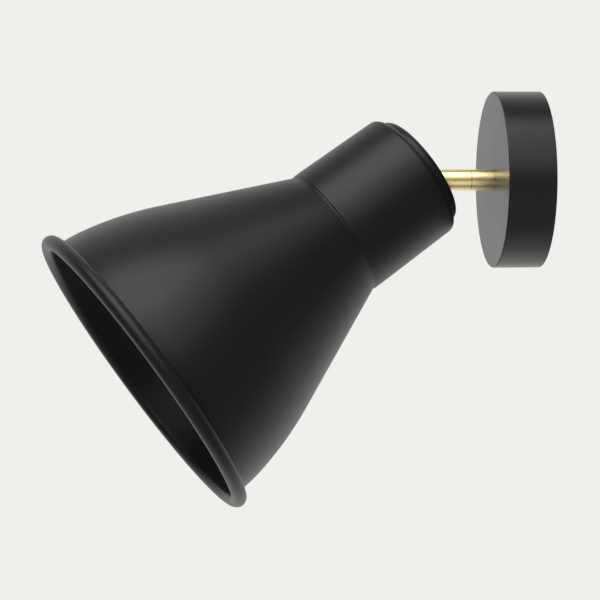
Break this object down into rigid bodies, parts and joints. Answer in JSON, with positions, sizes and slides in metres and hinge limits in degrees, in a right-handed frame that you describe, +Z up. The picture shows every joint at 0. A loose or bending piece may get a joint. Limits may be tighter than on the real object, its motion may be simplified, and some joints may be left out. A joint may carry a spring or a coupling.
{
  "type": "pivoting wall spotlight",
  "caption": "Black wall spotlight: round rose, brass stem that swivels, and a tilting cylindrical neck with a bell-shaped shade and rolled rim.",
  "frame": {"origin": "on the wall plane at the middle of the rose and of the wall strap's two screw slots", "axes": "+Y into the wall, so the light stands out along -Y; +Z up; +X along the strap and parallel to the tilt pivot"},
  "size_m": [0.1822, 0.2809, 0.2328],
  "materials": {
    "rose_paint": "satin black powder coat",
    "head_paint": "satin black powder coat",
    "cap_paint": "satin black powder coat",
    "brass": "fine satin, lacquered",
    "turned_brass": "as turned or pressed",
    "zinc_steel": "zinc plated",
    "bright_steel": "bright plated",
    "block_plastic": "moulded, off-white",
    "fibre": "pressed fibre",
    "holder_plastic": "moulded thermoset, black",
    "core_ceramic": "unglazed steatite",
    "core_sleeving": "soft sleeving: brown, blue, green and yellow",
    "flex_sheath": "soft round sheath, black",
    "lamp_metal": "pressed",
    "frosted_glass": "frosted, white inside"
  },
  "bodies": {
    "wall_side": {"wall_rose": "rose_paint", "wall_bracket": "zinc_steel", "terminal_block": "block_plastic", "terminal_inserts": "turned_brass", "terminal_screws": "bright_steel", "block_screw": "bright_steel", "earth_screw": "bright_steel", "earth_washer": "bright_steel", "threaded_nipple": "zinc_steel", "rear_nut": "zinc_steel", "lock_washer": "zinc_steel", "front_nut": "zinc_steel", "stem_socket": "brass", "stop_pin": "bright_steel", "rose_leads": "core_sleeving"},
    "stem": {"stem_tube": "brass", "swivel_washer": "turned_brass", "swivel_circlip": "bright_steel", "pivot_drum": "turned_brass", "pivot_screws": "bright_steel", "spring_washers": "bright_steel", "friction_washers": "fibre", "stem_flex": "flex_sheath"},
    "head": {"back_cap": "cap_paint", "cap_ring": "bright_steel", "neck_housing": "head_paint", "fork_bracket": "zinc_steel", "cross_bar": "zinc_steel", "bar_screws": "bright_steel", "holder_nipple": "zinc_steel", "holder_nut": "zinc_steel", "holder_cap": "holder_plastic", "holder_core": "core_ceramic", "holder_terminals": "turned_brass", "holder_shell": "holder_plastic", "lamp_thread": "turned_brass", "centre_contact": "turned_brass", "shade_ring": "holder_plastic", "bell_shade": "head_paint", "head_flex": "flex_sheath", "holder_leads": "core_sleeving", "bulb_base": "lamp_metal", "bulb_glass": "frosted_glass"}
  },
  "joints": [
    {"name": "stem_swivel", "type": "hinge", "parent": "wall_side", "child": "stem", "pos_m": [0, -0.0391, 0], "axis": [0, -1, 0], "range_deg": [-160, 160]},
    {"name": "head_tilt", "type": "hinge", "parent": "stem", "child": "head", "pos_m": [0, -0.076, 0], "axis": [1, 0, 0], "range_deg": [-35.8, 19.2]}
  ]
}
